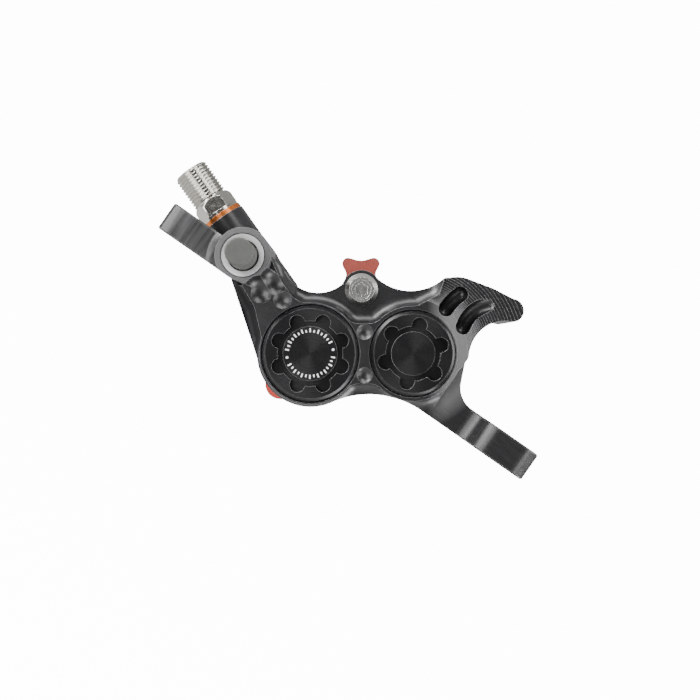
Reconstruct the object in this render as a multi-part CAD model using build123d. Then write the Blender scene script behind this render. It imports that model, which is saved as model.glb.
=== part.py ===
from build123d import *
import math
import os

# Bicycle disc brake caliper with four pistons, made as separate pieces.
# Millimetres. X runs along the mount line, Y runs inboard towards the wheel, and Z points away
# from the posts. The origin is the centre of the hose-side bolt slot on the seat plane.

# Post mount ears
post_spacing = 74.2
ear_overhang = 8.9
ear_thickness = 6.3
ear_half_depth = 8.5
ear_corner_r = 3.65
ear_edge_break = 0.3
slot_half_width = 3.1
slot_length = 10.4
bolt_head_room_r = 5.2
near_corner_r = 3.0
near_flat_end = 3.2
near_valley_x = 2.2
near_valley_depth = 0.7
near_foot_depth = 1.9
far_step_start = 7.8
far_step_end = 0.7
web_reach = 11.3
web_arc_r = 5.5

# Piston pairs, disc and pads. The chord of the pair is tilted from the mount line.
pair_x = 40.8
pair_z = 2.7
chord_angle = 34.8
bore_spacing = 21.4
disc_plane_y = 14.0
disc_thickness = 1.8
disc_track_radius = 81.0
disc_slot_radius = 92.5
disc_slot_width = 4.4
pad_running_gap = 0.3
friction_thickness = 2.0
backing_thickness = 1.8
pad_back_clearance = 0.6
contact_gap = 0.02

# Pad outline, measured along the chord and outwards from the middle of the pair
pad_half_length = 20.9
pad_top = 9.0
pad_bottom = 10.0
pad_corner_r = 3.25
pad_top_corner_r = 2.0
pad_arc_rise = 2.0
friction_inset = 0.9
friction_groove_half = 0.8
friction_groove_depth = 1.2
pad_side_clearance = 0.3
pad_tab_half_width = 3.8
pad_tab_top_wall = 1.5
pin_hole_clearance = 0.15

# Body depths from the disc plane, front shelf and window
outboard_depth = 20.0
inboard_depth = 17.5
shelf_drop = 3.0
shelf_cove_r = 2.3
window_half_length = 14.0
pocket_corner_r = 1.5
back_edge_chamfer = 0.8
core_corner_r = 1.5
cut_overrun = 2.0

# Pistons, seals and bore caps
large_piston_r = 8.0
small_piston_r = 7.0
piston_length = 8.6
piston_clearance = 0.03
piston_wall = 2.1
piston_cup_depth = 6.0
piston_edge_chamfer = 0.3
inboard_bore_depth = 9.2
seal_groove_setback = 2.2
seal_width = 2.2
seal_thickness = 1.4
seal_side_clearance = 0.05
large_cap_r = 9.95
small_cap_r = 8.8
cap_proud = 0.55
cap_flange_thickness = 2.1
cap_rim_bevel = 0.6
cap_thread_step = 0.65
cap_thread_length = 2.2
cap_nose_step = 0.45
cap_nose_length = 2.0
cap_clearance = 0.05
cap_seat_clearance = 0.12
cap_boss_drop = 0.25
large_cap_boss_r = 5.65
small_cap_boss_r = 4.55
cap_groove_depth = 1.5
cap_groove_width = 1.15
cap_pocket_r = 1.62
large_cap_pocket_count = 8
small_cap_pocket_count = 6
large_cap_pocket_ring_r = 6.95
small_cap_pocket_ring_r = 6.0
large_cap_pocket_angle = 12.3
small_cap_pocket_angle = -8.0
cap_front_wall = 2.4
cap_nose_wall = 2.3
chamber_depth = 0.6
o_ring_section = 1.0
o_ring_corner_r = 0.4
o_ring_side_gap = 0.06
o_ring_setback = 0.4

# Rims round the bores on the front face
rim_large_r = 10.6
rim_small_r = 9.9
lobe_large_r = 11.2
lobe_small_r = 10.0
land_half_width = 6.3
land_fillet = 3.0
smooth_turn = 4.0
dimple_along = 0.6
dimple_out = 4.5
dimple_ball_r = 2.5
dimple_rise = 1.9
rim_chamfer = 0.3

# Pad pin
pin_rise = 13.35
pin_r = 2.0
pin_boss_r = 4.15
pin_head_r = 3.45
pin_head_top_r = 2.6
pin_head_rim = 0.25
pin_head_height = 1.15
pin_recess_r = 2.05
pin_recess_depth = 0.45
pin_socket_r = 1.5
pin_socket_depth = 1.4
pin_tail = 2.4
pin_tail_chamfer = 0.4
pin_groove_r = 1.5
clip_back_gap = 0.15
pin_fit = 0.03
clip_thickness = 0.6
clip_outer_r = 3.0
clip_gap_angle = 70.0
clip_fit = 0.03

# Pad spring
spring_thickness = 0.35
spring_leaf_height = 1.7
spring_end_clearance = 1.0
spring_strap_half_width = 1.4
spring_pad_clearance = 0.35
spring_friction_gap = 0.25
spring_pin_clearance = 0.3

# Red transport spacer, measured as the pads are
spacer_thickness = 1.7
spacer_leg_half_length = 12.6
spacer_hip_half_width = 5.4
spacer_hip_rise = 13.2
spacer_hip_r = 2.5
spacer_slot_gap = 0.5
spacer_slot_half_width = 2.5
spacer_foot = 7.0
spacer_shoulder = 7.2
spacer_foot_r = 1.8
spacer_neck_half_width = 3.0
spacer_neck_rise = 17.4
spacer_tip_half_width = 5.3
spacer_tip_rise = 21.8
spacer_tip_r = 1.25
spacer_dip_rise = 20.35
spacer_grip_thickness = 3.6
spacer_grip_start = 16.6
spacer_neck_r = 2.0
spacer_dip_r = 3.0

# Bleed boss, nipple and rubber cap
bleed_x = 9.1
bleed_z = 5.35
bleed_boss_r = 5.8
bleed_ring_inner_r = 4.45
bleed_ring_groove = 0.2
bleed_ring_groove_depth = 0.4
bleed_cone_depth = 0.75
bleed_cone_r = 4.4
bleed_well_r = 3.3
bleed_well_depth = 4.2
bleed_thread_r = 3.0
bleed_thread_length = 9.0
bleed_hex_flats = 5.0
bleed_hex_height = 3.4
bleed_stem_r = 1.35
bleed_barb_r = 1.65
bleed_barb_length = 1.6
bleed_tip_r = 1.4
bleed_tip_length = 1.2
bleed_tip_gap = 0.1
bleed_stem_length = 5.5
bleed_bore_r = 0.6
bleed_fit = 0.04
bleed_cap_r = 3.0
bleed_cap_tip_r = 2.85
bleed_cap_top = 10.4
bleed_cap_wall_gap = 0.3
bleed_cap_dome = 0.35
flare_width = 2.5
flare_lip = 0.5
flare_height = 1.9
flare_arc_r = 2.6
boss_relief_angle = 12.0

# Hose port and connector, along a line that rises away from the body over the hose-side ear
port_angle = 20.0
port_z = 9.46
port_face_reach = 1.2
port_boss_r = 4.9
port_boss_length = 25.5
port_thread_r = 3.0
port_thread_length = 5.0
washer_thickness = 1.0
washer_r = 4.75
washer_bore_clearance = 0.1
connector_collar_length = 0.75
connector_collar_r = 4.55
connector_hex_flats = 8.0
connector_hex_length = 3.25
connector_hex_chamfer = 0.6
connector_neck_length = 0.4
connector_neck_r = 3.45
connector_thread_r = 4.0
connector_thread_length = 7.6
connector_bore_r = 1.2
connector_seat_r = 2.6
connector_seat_depth = 2.4
connector_thread_chamfer = 0.5
connector_hex_turn = 30.0
connector_fit = 0.03

# Fluid drillings
gallery_r = 1.0
plug_r = 2.0
plug_length = 2.5
plug_socket_r = 0.9
plug_socket_depth = 1.2
plug_sink = 0.3
plug_fit = 0.02

# Bridge horn: terraces left by a cutter that stepped down round the small bore's axis
terrace_count = 27
terrace_start = 1.5
terrace_drop = 0.29
terrace_first_width = 0.28
terrace_last_width = 0.82
trough_r = 1.65
trough_floor = 5.9

# Outlines of the body in shares of the bore spacing, from the middle of the pair, as
# (along X, along Z, corner radius)
core_outline_shares = (
    (-1.467, -0.131, 0.0),
    (-0.722, -0.690, 0.0),
    (-0.014, -0.523, 0.0),
    (0.103, -0.607, 0.0),
    (0.804, -0.126, 0.0),
    (0.878, -0.126, 0.05),
    (0.878, 0.600, 0.0),
    (1.015, 0.810, 0.0),
    (1.108, 0.969, 0.0),
    (1.000, 1.192, 0.0),
    (0.975, 1.317, 0.0),
    (0.710, 1.278, 0.60),
    (0.375, 1.190, 0.30),
    (0.205, 1.040, 0.0),
    (-0.040, 0.902, 0.0),
    (-0.232, 0.850, 0.0),
    (-0.388, 0.598, 0.0),
    (-0.645, 0.505, 0.0),
    (-0.880, 0.215, 0.0),
    (-0.925, 0.194, 0.0),
    (-1.350, 0.300, 0.0),
    (-1.620, 0.200, 0.0),
)
# Round notches cut out of that outline, as (along X, along Z, radius)
core_notch_shares = (
    (-0.897, 0.548, 0.366),
    (-0.238, 1.187, 0.496),
    (1.210, 0.762, 0.388),
    (0.804, -1.028, 0.902),
)
horn_tip_shares = (0.991, 1.210, 0.116)
# Raised front land beyond the two rims, and how far from the pair its corners are rounded
land_reach_share = 1.2
neck_land_shares = (
    (-1.110, -0.225),
    (-1.330, -0.120),
    (-1.300, 0.290),
    (-1.080, 0.150),
    (-0.860, 0.065),
)
horn_land_shares = (
    (0.292, 0.900),
    (0.250, 1.060),
    (0.350, 1.500),
    (1.400, 1.500),
    (1.300, 0.700),
)
# Where those two lands run into a rim, as a share of its radius and two angles round it
neck_rim_share = 0.87
neck_rim_angles = (116.2, 219.0)
horn_rim_share = 0.95
horn_rim_angles = (21.4, 126.3)
# Web between the small bore's lobe and the far ear, upper edge
web_top_shares = (0.841, 0.610)
web_root_shares = (0.600, 0.440)
web_base_shares = (0.710, -0.126)
# Horn troughs, as (start X, start Z, end X, end Z, rise of the arc between them)
trough_shares = (
    (0.427, 0.827, 0.465, 1.035, 0.010),
    (0.664, 0.778, 0.764, 1.120, 0.047),
)
# Scoops in the neck beside the bleed boss, as (X, Z, ball centre below the land, ball radius)
scoop_shares = (
    (-1.137, -0.075, -0.135, 0.168),
    (-1.067, 0.080, -0.130, 0.168),
    (-0.930, -0.010, -0.122, 0.150),
)

along_x = math.cos(math.radians(chord_angle))
along_z = math.sin(math.radians(chord_angle))
front_y = disc_plane_y - outboard_depth
back_y = disc_plane_y + inboard_depth
shelf_y = front_y + shelf_drop
friction_face = disc_thickness / 2 + pad_running_gap
backing_face = friction_face + friction_thickness
backing_back = backing_face + backing_thickness
pocket_half = backing_back + pad_back_clearance


def tilted(along, out):
    """Row X and Z of a point given along the piston chord and outwards from the disc."""
    return (
        pair_x + along * along_x - out * along_z,
        pair_z + along * along_z + out * along_x,
    )


def shared(x_share, z_share):
    """Row X and Z of an outline point given in shares of the bore spacing."""
    return (pair_x + x_share * bore_spacing, pair_z + z_share * bore_spacing)


large_x, large_z = tilted(-bore_spacing / 2, 0)
small_x, small_z = tilted(bore_spacing / 2, 0)
pin_x, pin_z = tilted(0, pin_rise)
disc_x, disc_z = tilted(0, -disc_track_radius)


def circle_at(x, z, radius):
    return Pos(x, z) * Circle(radius)


def prism(sketch, y_start, y_end):
    """Sketch drawn in X and Z, made solid between two depths."""
    plane = Plane(origin=(0, y_start, 0), x_dir=(1, 0, 0), z_dir=(0, -1, 0))
    return extrude(plane * sketch, amount=y_end - y_start, dir=(0, 1, 0))


def rod(x, z, radius, y_start, y_end):
    return prism(circle_at(x, z, radius), y_start, y_end)


def ring(x, z, outer, inner, y_start, y_end):
    return prism(circle_at(x, z, outer) - circle_at(x, z, inner), y_start, y_end)


def turned(x, z, *profile):
    """Solid of revolution about a line along Y, from (radius, depth) points."""
    face = make_face(Polyline(*profile, close=True))
    return Pos(x, 0, z) * revolve(face, Axis.Y, 360)


def outline(shares):
    """Closed outline with rounded corners from a table of shares."""
    points = [shared(x_share, z_share) for x_share, z_share, _ in shares]
    radii = [radius_share * bore_spacing for _, _, radius_share in shares]
    return make_face(FilletPolyline(*points, radius=radii, close=True))


def tilted_outline(points, radii):
    """Closed outline with rounded corners from points along and out from the pair."""
    places = [tilted(along, out) for along, out in points]
    return make_face(FilletPolyline(*places, radius=radii, close=True))


def notches():
    cuts = Sketch()
    for x_share, z_share, radius_share in core_notch_shares:
        x, z = shared(x_share, z_share)
        cuts += circle_at(x, z, radius_share * bore_spacing)
    return cuts


def core_sketch():
    """Silhouette of both halves of the body, without its ears and hose boss."""
    tip_x, tip_z = shared(*horn_tip_shares[:2])
    sketch = outline(core_outline_shares) - notches()
    sketch += circle_at(large_x, large_z, lobe_large_r)
    sketch += circle_at(small_x, small_z, lobe_small_r)
    sketch += circle_at(pin_x, pin_z, pin_boss_r)
    sketch += circle_at(tip_x, tip_z, horn_tip_shares[2] * bore_spacing)
    return rounded(sketch, core_corner_r, 2 * post_spacing)


def turn_at(vertex, sketch):
    """Change of direction at a corner in degrees, and the shorter of its two edges."""
    place = Vector(*vertex)
    beside = sketch.edges().sort_by_distance(place)[:2]
    headings = []
    for edge in beside:
        at_start = (edge @ 0 - place).length < (edge @ 1 - place).length
        headings.append(edge % 0 if at_start else edge % 1 * -1)
    return 180 - headings[0].get_angle(headings[1]), min(edge.length for edge in beside)


def rounded(sketch, radius, reach):
    """Sketch with every sharp corner rounded that lies within reach of the pair."""
    middle = Vector(pair_x, pair_z)
    for corner in [Vector(*vertex) for vertex in sketch.vertices()]:
        vertex = sketch.vertices().sort_by_distance(corner)[0]
        turn, room = turn_at(vertex, sketch)
        needed = radius * math.tan(math.radians(turn / 2))
        if (corner - middle).length < reach and turn > smooth_turn and needed < room:
            sketch = fillet(vertex, radius)
    return sketch


def land_into_rim(shares, x, z, reach, angles):
    """Raised land whose open end runs into the rim round a bore."""
    corners = [shared(*share) for share in shares]
    ends = [(x + reach * math.cos(math.radians(angle)), z + reach * math.sin(math.radians(angle)))
            for angle in angles]
    return make_face(Polyline(*corners, *ends, close=True))


def neck_land():
    return land_into_rim(neck_land_shares, large_x, large_z, neck_rim_share * rim_large_r,
                         neck_rim_angles)


def horn_land():
    return land_into_rim(horn_land_shares, small_x, small_z, horn_rim_share * rim_small_r,
                         horn_rim_angles)


def land_sketch():
    """The part of the front that stays at full height: rims, link, neck and horn."""
    half = bore_spacing / 2
    link = [(-half, -land_half_width), (half, -land_half_width),
            (half, land_half_width), (-half, land_half_width)]
    land = circle_at(large_x, large_z, rim_large_r) + circle_at(small_x, small_z, rim_small_r)
    land += tilted_outline(link, 0) + neck_land() + horn_land()
    return rounded(land, land_fillet, land_reach_share * bore_spacing)


def front_shelf():
    """Everything round the front land, cut down to the shelf with a coved foot."""
    sheet = Pos(pair_x, pair_z) * Rectangle(4 * post_spacing, 4 * post_spacing)
    cutter = prism(sheet - land_sketch(), front_y - cut_overrun, shelf_y)
    floor = cutter.faces().sort_by(Axis.Y)[-1]
    foot = [edge for wire in floor.inner_wires() for edge in wire.edges()]
    return fillet(foot, shelf_cove_r)


def terraces():
    """Steps that fall away from the small bore over the horn, wider towards its tip."""
    top = front_y - cut_overrun
    radius = rim_small_r + terrace_start
    profile = [(radius, top)]
    for step in range(terrace_count):
        depth = front_y + (step + 1) * terrace_drop
        profile.append((radius, depth))
        part_way = step / (terrace_count - 1)
        radius += terrace_first_width + part_way * (terrace_last_width - terrace_first_width)
        profile.append((radius, depth))
    profile.append((radius, top))
    return turned(small_x, small_z, *profile) & prism(
        horn_land(), top, front_y + (terrace_count + 1) * terrace_drop)


def trough(start, end, rise):
    """Ball-ended trough milled into the horn along an arc from the front."""
    across = (end - start).rotate(Axis.Z, 90).normalized()
    path = ThreePointArc(start, (start + end) / 2 + across * rise, end)
    centre_depth = front_y + trough_floor - trough_r
    opening = prism(SlotArc(path, 2 * trough_r), front_y - cut_overrun, centre_depth)
    floor = sweep(Plane(origin=start, z_dir=path % 0) * Circle(trough_r), path)
    floor += Pos(*start) * Sphere(trough_r) + Pos(*end) * Sphere(trough_r)
    return opening + Plane(origin=(0, centre_depth, 0), x_dir=(1, 0, 0), z_dir=(0, -1, 0)) * floor


def mount_slot(bolt_x):
    """Bolt slot that runs inboard, so the caliper can be centred on the disc."""
    slot = Pos(bolt_x, 0) * SlotOverall(slot_length, 2 * slot_half_width, rotation=90)
    return extrude(slot, amount=ear_thickness + 2 * cut_overrun).moved(
        Location((0, 0, -cut_overrun)))


def ear_plate(plan):
    """Ear of the given plan with its upper and lower edges broken."""
    plate = extrude(plan, amount=ear_thickness)
    rims = plate.edges().filter_by(Plane.XY)
    return chamfer(rims, ear_edge_break)


def far_ear():
    tip_x = post_spacing + ear_overhang
    root_x = post_spacing - web_reach
    step_start = (post_spacing - far_step_start, shelf_y)
    step_end = (post_spacing - far_step_end, -ear_half_depth)
    middle = ((step_start[0] + step_end[0]) / 2, (step_start[1] + step_end[1]) / 2)
    cove = TangentArc(step_start, middle, tangent=(1, 0))
    crest = TangentArc(middle, step_end, tangent=cove % 1)
    rest = FilletPolyline(
        step_end, (tip_x, -ear_half_depth), (tip_x, ear_half_depth), (root_x, ear_half_depth),
        (root_x, shelf_y), step_start, radius=(ear_corner_r, ear_corner_r, 0, 0))
    return ear_plate(make_face([cove, crest, rest]))


def near_ear():
    tip_x = -ear_overhang
    inner_x = bleed_x + bleed_boss_r / 2
    crest = (tip_x + near_flat_end, -ear_half_depth)
    valley = (-near_valley_x, near_valley_depth - ear_half_depth)
    foot = (bleed_x - bleed_boss_r, near_foot_depth - ear_half_depth)
    front = Spline(crest, valley, foot, tangents=((1, 0), (1, 0)))
    rest = FilletPolyline(
        foot, (inner_x, foot[1]), (inner_x, ear_half_depth), (tip_x, ear_half_depth),
        (tip_x, -ear_half_depth), crest, radius=(0, 0, ear_corner_r, near_corner_r))
    return ear_plate(make_face([front, rest]))


def web():
    """Plate of the outboard half that carries the far ear."""
    corner_x = post_spacing - web_reach
    end_x = post_spacing - far_step_start / 2
    points = [shared(*web_base_shares), (end_x, 0), (end_x, ear_thickness),
              (corner_x, ear_thickness), shared(*web_top_shares), shared(*web_root_shares)]
    sketch = make_face(FilletPolyline(*points, radius=(0, 0, 0, web_arc_r, 0, 0), close=True))
    return prism(sketch, shelf_y, ear_half_depth)


def flare():
    """Cove between the near ear's front and the bleed boss."""
    top = -ear_half_depth
    centre = (bleed_boss_r + flare_width, top + flare_lip)
    start = (bleed_boss_r, top + flare_lip)
    arc = RadiusArc(start, (bleed_boss_r + flare_width, top + flare_height), flare_arc_r)
    side = Polyline(arc @ 1, (centre[0], 0), (0, 0), (0, top + flare_lip), start)
    skirt = Pos(bleed_x, 0, bleed_z) * revolve(make_face([arc, side]), Axis.Y, 360)
    return skirt & Box(4 * post_spacing, 4 * post_spacing, ear_thickness,
                       align=(Align.CENTER, Align.CENTER, Align.MIN))


def bleed_boss():
    boss = rod(bleed_x, bleed_z, bleed_boss_r, -ear_half_depth, back_y)
    below = Box(4 * bleed_boss_r, 4 * post_spacing, bleed_boss_r,
                align=(Align.CENTER, Align.CENTER, Align.MAX))
    return boss - Pos(bleed_x, 0, 0) * below


def boss_relief():
    """Wedge that lifts the underside of the boss and its cove off the seat beyond the ear."""
    start, _ = shared(*core_outline_shares[0][:2])
    end = bleed_x + 2 * bleed_boss_r
    rise = (end - start) * math.tan(math.radians(boss_relief_angle))
    wedge = make_face(Polyline(
        (start, -cut_overrun), (end, -cut_overrun), (end, rise), (start, 0), close=True))
    return prism(wedge, -ear_half_depth - cut_overrun, shelf_y)


def bleed_recess():
    """Ring groove, bright cone, well and threaded hole for the bleed nipple."""
    top = -ear_half_depth
    groove = ring(bleed_x, bleed_z, bleed_ring_inner_r + bleed_ring_groove, bleed_ring_inner_r,
                  top - cut_overrun, top + bleed_ring_groove_depth)
    well = turned(bleed_x, bleed_z, (0, top - cut_overrun),
                  (bleed_cone_r, top - cut_overrun), (bleed_cone_r, top),
                  (bleed_well_r, top + bleed_cone_depth),
                  (bleed_well_r, top + bleed_well_depth), (0, top + bleed_well_depth))
    thread = rod(bleed_x, bleed_z, bleed_thread_r + bleed_fit,
                 top, top + bleed_well_depth + bleed_thread_length + bleed_tip_length)
    return groove + well + thread


port_direction = Vector(-math.cos(math.radians(port_angle)), 0,
                        math.sin(math.radians(port_angle)))
port_point = Vector(0, disc_plane_y, port_z) + port_direction * port_face_reach
port_plane = Plane(origin=port_point, x_dir=(0, 1, 0), z_dir=port_direction)


def along_port(radius, start, end):
    """Round bar on the hose port's axis between two distances out from the port's face."""
    bar = Cylinder(radius, end - start, align=(Align.CENTER, Align.CENTER, Align.MIN))
    return port_plane * (Pos(0, 0, start) * bar)


def port_boss():
    return along_port(port_boss_r, -port_boss_length, 0)


def port_hole():
    thread = along_port(port_thread_r + connector_fit, -port_thread_length - cut_overrun,
                        cut_overrun)
    to_gallery = (bleed_x / math.cos(math.radians(port_angle))) + port_face_reach
    return thread + along_port(gallery_r, -to_gallery, 0)


def disc_slot():
    return rod(disc_x, disc_z, disc_slot_radius, disc_plane_y - disc_slot_width / 2,
               disc_plane_y + disc_slot_width / 2)


def pad_pocket():
    """Space for the pads, open towards the wheel's axle, with a window at the pad pin."""
    half = pad_half_length + pad_side_clearance
    far = 2 * post_spacing
    top = pad_top + pad_side_clearance
    pads = tilted_outline([(-half, -far), (half, -far), (half, top), (-half, top)],
                          (0, 0, pocket_corner_r, pocket_corner_r))
    window = tilted_outline([(-window_half_length, 0), (window_half_length, 0),
                             (window_half_length, far), (-window_half_length, far)], 0)
    return prism(pads + window, disc_plane_y - pocket_half, disc_plane_y + pocket_half)


def mirrored(depth, side):
    """Depth of a place a given distance from the disc plane, -1 outboard or 1 inboard."""
    return disc_plane_y + side * depth


def prism_between(sketch, first, last, side):
    """Sketch made solid between two distances from the disc plane, on one side of it."""
    return prism(sketch, *sorted((mirrored(first, side), mirrored(last, side))))


def piston_bore(x, z, radius, side):
    """Cylinder for one piston with the groove of its seal."""
    mouth = pocket_half - cut_overrun
    if side < 0:
        bottom = disc_plane_y - cap_flange_under()
    else:
        bottom = pocket_half + inboard_bore_depth
    bore = circle_at(x, z, radius + piston_clearance)
    groove = circle_at(x, z, radius + seal_thickness + seal_side_clearance)
    groove_end = seal_near() + seal_width + 2 * seal_side_clearance
    return (prism_between(bore, mouth, bottom, side)
            + prism_between(groove, seal_near(), groove_end, side))


def seal_near():
    return pocket_half + seal_groove_setback


def cap_flange_under():
    return front_y - cap_proud + cap_flange_thickness


def cap_nose_end():
    return cap_flange_under() + cap_thread_length + cap_nose_length


def cap_seat(x, z, radius):
    """Stepped opening of an outboard bore for its screw cap."""
    top = front_y - cut_overrun
    thread_r = radius - cap_thread_step
    nose_r = thread_r - cap_nose_step
    under = cap_flange_under()
    return turned(
        x, z, (0, top), (radius + cap_seat_clearance + rim_chamfer + cut_overrun, top),
        (radius + cap_seat_clearance, front_y + rim_chamfer),
        (radius + cap_seat_clearance, under), (thread_r + cap_clearance, under),
        (thread_r + cap_clearance, under + cap_thread_length),
        (nose_r + cap_clearance, under + cap_thread_length),
        (nose_r + cap_clearance, cap_nose_end() + chamber_depth),
        (0, cap_nose_end() + chamber_depth))


def drilling(start, end, radius):
    first = Vector(*start)
    last = Vector(*end)
    return Plane(origin=first, z_dir=last - first) * Cylinder(
        radius, (last - first).length, align=(Align.CENTER, Align.CENTER, Align.MIN))


def gallery_depth():
    """Depth of the cross drilling behind the inboard pistons."""
    return disc_plane_y + pocket_half + inboard_bore_depth - gallery_r


def plug_line():
    """Start at the large bore and direction outwards of the inboard cross drilling."""
    away = Vector(bleed_x - large_x, 0, bleed_z - large_z).normalized()
    return Vector(large_x, gallery_depth(), large_z), away


def plug_mouth():
    _, away = plug_line()
    return Vector(bleed_x, gallery_depth(), bleed_z) + away * (bleed_boss_r - plug_sink)


def drillings():
    """Fluid ways: port to bleed well, across the bridge and into all four bores."""
    well_end = -ear_half_depth + bleed_well_depth + bleed_thread_length
    cross = rod(bleed_x, bleed_z, gallery_r, well_end, gallery_depth() + gallery_r)
    chamber_y = cap_nose_end() + chamber_depth / 2
    outboard = drilling((bleed_x, well_end + bleed_tip_length, bleed_z),
                        (large_x, chamber_y, large_z), gallery_r)
    start, away = plug_line()
    mouth = plug_mouth()
    inboard = drilling(start, mouth, gallery_r)
    seat = drilling(mouth - away * plug_length, mouth + away * cut_overrun, plug_r + plug_fit)
    links = drilling((large_x, gallery_depth(), large_z), (small_x, gallery_depth(), small_z),
                     gallery_r)
    links += drilling((large_x, chamber_y, large_z), (small_x, chamber_y, small_z),
                      chamber_depth / 2)
    return cross + outboard + inboard + seat + links


def ball(x, z, radius, depth):
    return Pos(x, depth, z) * Sphere(radius)


def dimples():
    """Two shallow milled dimples in the land between the bores."""
    return [ball(*tilted(dimple_along, out), dimple_ball_r, front_y - dimple_rise)
            for out in (dimple_out, -dimple_out)]


def scoops():
    """Ball-milled hollows in the neck beside the bleed boss."""
    return [ball(*shared(x_share, z_share), radius_share * bore_spacing,
                 front_y + depth_share * bore_spacing)
            for x_share, z_share, depth_share, radius_share in scoop_shares]


def bolt_head_room(bolt_x):
    """Space for a bolt head over the ear, along the whole slot."""
    length = slot_length + 2 * (bolt_head_room_r - slot_half_width)
    room = Pos(bolt_x, 0) * SlotOverall(length, 2 * bolt_head_room_r, rotation=90)
    return extrude(room, amount=post_spacing / 2).moved(Location((0, 0, ear_thickness)))


def inner_spaces():
    """Cap seats, piston bores, and the space for the pads and the disc."""
    spaces = [cap_seat(large_x, large_z, large_cap_r), cap_seat(small_x, small_z, small_cap_r),
              pad_pocket() + disc_slot()]
    for side in (-1, 1):
        spaces.append(piston_bore(large_x, large_z, large_piston_r, side))
        spaces.append(piston_bore(small_x, small_z, small_piston_r, side))
    return spaces


def without(shape, cuts):
    for cut in cuts:
        shape -= cut
    return shape


def caliper_body():
    body = prism(core_sketch(), front_y, back_y)
    back_edges = body.faces().sort_by(Axis.Y)[-1].outer_wire().edges()
    body = chamfer(back_edges, back_edge_chamfer)
    body = without(body, inner_spaces())
    body -= front_shelf()
    body -= terraces()
    for start_x, start_z, end_x, end_z, rise_share in trough_shares:
        start = Vector(*shared(start_x, start_z))
        end = Vector(*shared(end_x, end_z))
        body -= trough(start, end, rise_share * bore_spacing)
    body += without(web() + far_ear(), inner_spaces())
    near_end = near_ear() + bleed_boss() + flare() - boss_relief() + port_boss()
    body += near_end - (pad_pocket() + disc_slot())
    body -= bleed_recess()
    body -= mount_slot(0)
    body -= mount_slot(post_spacing)
    body -= bolt_head_room(0)
    body -= rod(pin_x, pin_z, pin_r + pin_fit, front_y, back_y + cut_overrun)
    body -= port_hole()
    body -= drillings()
    return without(body, scoops() + dimples())


def bore_cap(x, z, flange_r, boss_r, pocket_count, pocket_ring_r, pocket_angle):
    """Screw cap with a ring of tool pockets, hollow behind, with a groove for its ring."""
    top = front_y - cap_proud
    under = cap_flange_under()
    thread_end = under + cap_thread_length
    nose_end = cap_nose_end()
    thread_r = flange_r - cap_thread_step
    nose_r = thread_r - cap_nose_step
    cavity_r = nose_r - cap_nose_wall
    groove_start, groove_end, groove_r = o_ring_groove(nose_r)
    cap = turned(
        x, z, (0, top), (flange_r - cap_rim_bevel, top), (flange_r, top + cap_rim_bevel),
        (flange_r, under), (thread_r, under), (thread_r, thread_end), (nose_r, thread_end),
        (nose_r, groove_start), (groove_r, groove_start), (groove_r, groove_end),
        (nose_r, groove_end), (nose_r, nose_end), (cavity_r, nose_end),
        (cavity_r, top + cap_front_wall), (0, top + cap_front_wall))
    cap -= rod(x, z, boss_r, top - cut_overrun, top + cap_boss_drop)
    cuts = circle_at(x, z, boss_r + cap_groove_width) - circle_at(x, z, boss_r)
    for place in range(pocket_count):
        angle = math.radians(pocket_angle + place * 360 / pocket_count)
        pocket_x = x + pocket_ring_r * math.cos(angle)
        pocket_z = z + pocket_ring_r * math.sin(angle)
        cuts += circle_at(pocket_x, pocket_z, cap_pocket_r) - circle_at(x, z, boss_r)
    return cap - prism(cuts, top - cut_overrun, top + cap_groove_depth)


def o_ring_groove(nose_r):
    """Start, end and inner radius of the groove round a cap's nose."""
    end = cap_nose_end() - o_ring_setback
    start = end - o_ring_section - 2 * o_ring_side_gap
    return start, end, nose_r + cap_clearance - 2 * contact_gap - o_ring_section


def o_ring(x, z, flange_r):
    nose_r = flange_r - cap_thread_step - cap_nose_step
    start, _, groove_r = o_ring_groove(nose_r)
    inner = groove_r + contact_gap
    middle = (inner + o_ring_section / 2, start + o_ring_side_gap + o_ring_section / 2)
    section = Pos(*middle) * RectangleRounded(o_ring_section, o_ring_section, o_ring_corner_r)
    return Pos(x, 0, z) * revolve(section, Axis.Y, 360)


def piston(x, z, radius, side):
    """Cup piston that opens towards its pad."""
    near = backing_back + contact_gap
    far = near + piston_length
    floor = near + piston_cup_depth
    inner = radius - piston_wall
    points = [(0, floor), (inner, floor), (inner, near), (radius - piston_edge_chamfer, near),
              (radius, near + piston_edge_chamfer), (radius, far - piston_edge_chamfer),
              (radius - piston_edge_chamfer, far), (0, far)]
    return turned(x, z, *[(r, mirrored(depth, side)) for r, depth in points])


def piston_seal(x, z, radius, side):
    start = seal_near() + seal_side_clearance
    section = circle_at(x, z, radius + seal_thickness) - circle_at(x, z, radius + contact_gap)
    return prism_between(section, start, start + seal_width, side)


def pad_plate():
    """Backing plate outline with the tab that hangs on the pad pin."""
    plate = tilted_outline(
        [(-pad_half_length, -pad_bottom), (pad_half_length, -pad_bottom),
         (pad_half_length, pad_top), (-pad_half_length, pad_top)],
        (pad_corner_r, pad_corner_r, pad_top_corner_r, pad_top_corner_r))
    tab_top = pin_rise + pin_r + pad_tab_top_wall
    tab = tilted_outline(
        [(-pad_tab_half_width, 0), (pad_tab_half_width, 0),
         (pad_tab_half_width, tab_top), (-pad_tab_half_width, tab_top)],
        (0, 0, pad_top_corner_r, pad_top_corner_r))
    return plate + tab - pad_arc(0) - circle_at(pin_x, pin_z, pin_r + pin_hole_clearance)


def pad_arc(inset):
    """Round cut along a pad's lower edge, centred on the disc's axis."""
    return circle_at(disc_x, disc_z, disc_track_radius - pad_bottom + pad_arc_rise + inset)


def pad_backing(side):
    return prism_between(pad_plate(), backing_face, backing_back, side)


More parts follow.
